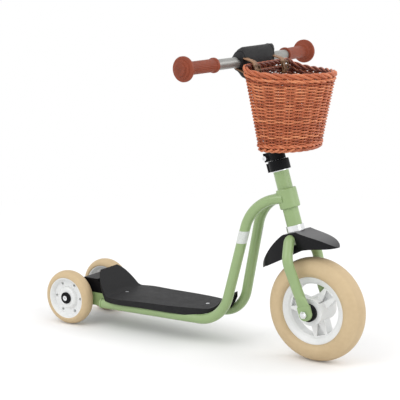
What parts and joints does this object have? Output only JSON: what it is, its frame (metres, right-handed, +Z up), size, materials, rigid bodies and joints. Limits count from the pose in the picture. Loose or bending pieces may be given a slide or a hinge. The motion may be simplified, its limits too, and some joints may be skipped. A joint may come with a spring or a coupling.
{
  "type": "kick scooter",
  "caption": "Low child's kick scooter with a big front wheel, small paired rear wheels, a twin-tube frame, a moulded deck, a padded handlebar and a wicker basket.",
  "frame": {"origin": "on the ground, under the middle of the scooter's length and width", "axes": "+X forward along the riding direction, +Y to the rider's left, +Z up"},
  "size_m": [0.708, 0.4456, 0.5917],
  "materials": {
    "frame_paint": "semi-gloss sage green powder coat",
    "steel": "turned steel",
    "bright_plating": "bright zinc or chrome plating",
    "bar_finish": "silver satin",
    "black_plastic": "satin black",
    "deck_plastic": "black, moulded anti-slip grain",
    "mudguard_plastic": "satin black with a soft sheen",
    "rim_plastic": "white, semi-gloss",
    "tyre_rubber": "beige rubber with a fine tread",
    "grip_rubber": "red-brown, soft",
    "pad_fabric": "black woven synthetic",
    "wicker": "clear-varnished tan willow",
    "strap_leather": "dark brown, waxed",
    "reflector_film": "silver reflective film"
  },
  "bodies": {
    "frame": {"head_tube": "frame_paint", "frame_tube_left": "frame_paint", "frame_tube_right": "frame_paint", "head_lug": "frame_paint", "rear_bracket": "frame_paint", "reflector_bands": "reflector_film", "lower_headset_cup": "bright_plating", "lower_headset_balls": "steel", "upper_headset_cup": "bright_plating", "upper_headset_balls": "steel", "headset_cover": "black_plastic", "deck": "deck_plastic", "deck_brace_rear": "frame_paint", "deck_brace_front": "frame_paint", "deck_screws": "bright_plating", "axle_cover": "black_plastic", "rear_axle": "steel", "rear_axle_spacers": "steel", "rear_washers": "black_plastic", "rear_axle_screws": "bright_plating"},
    "fork": {"steerer": "steel", "fork_crown": "frame_paint", "fork_leg_left": "frame_paint", "fork_leg_right": "frame_paint", "front_mudguard": "mudguard_plastic", "lower_headset_cone": "steel", "upper_headset_cone": "steel", "steering_stop_washer": "steel", "headset_locknut": "steel", "stem_clamp": "black_plastic", "clamp_bolt": "bright_plating", "clamp_nut": "bright_plating", "front_axle": "steel", "front_axle_spacers": "black_plastic", "front_axle_nuts": "bright_plating"},
    "handlebar_unit": {"stem": "bar_finish", "handlebar": "bar_finish", "grip_left": "grip_rubber", "grip_right": "grip_rubber", "handlebar_pad": "pad_fabric", "basket": "wicker", "basket_straps": "strap_leather", "strap_buckles": "bright_plating"},
    "front_wheel": {"front_tyre": "tyre_rubber", "front_rim": "rim_plastic", "front_bearings": "steel", "front_hub_sleeve": "steel"},
    "rear_wheel_left": {"rear_tyre_left": "tyre_rubber", "rear_rim_left": "rim_plastic", "rear_bearings_left": "steel", "rear_hub_sleeve_left": "steel"},
    "rear_wheel_right": {"rear_tyre_right": "tyre_rubber", "rear_rim_right": "rim_plastic", "rear_bearings_right": "steel", "rear_hub_sleeve_right": "steel"}
  },
  "joints": [
    {"name": "steering", "type": "hinge", "parent": "frame", "child": "fork", "pos_m": [0.251, 0, 0.1], "axis": [-0.2924, 0, 0.9563], "range_deg": [-45, 45]},
    {"name": "handlebar_height", "type": "slide", "parent": "fork", "child": "handlebar_unit", "axis": [-0.2924, 0, 0.9563], "range_m": [0, 0.05]},
    {"name": "front_wheel_spin", "type": "hinge", "parent": "fork", "child": "front_wheel", "pos_m": [0.254, 0, 0.1], "axis": [0, 1, 0], "continuous": true},
    {"name": "rear_left_spin", "type": "hinge", "parent": "frame", "child": "rear_wheel_left", "pos_m": [-0.298, 0.062, 0.056], "axis": [0, 1, 0], "continuous": true},
    {"name": "rear_right_spin", "type": "hinge", "parent": "frame", "child": "rear_wheel_right", "pos_m": [-0.298, -0.062, 0.056], "axis": [0, 1, 0], "continuous": true}
  ]
}
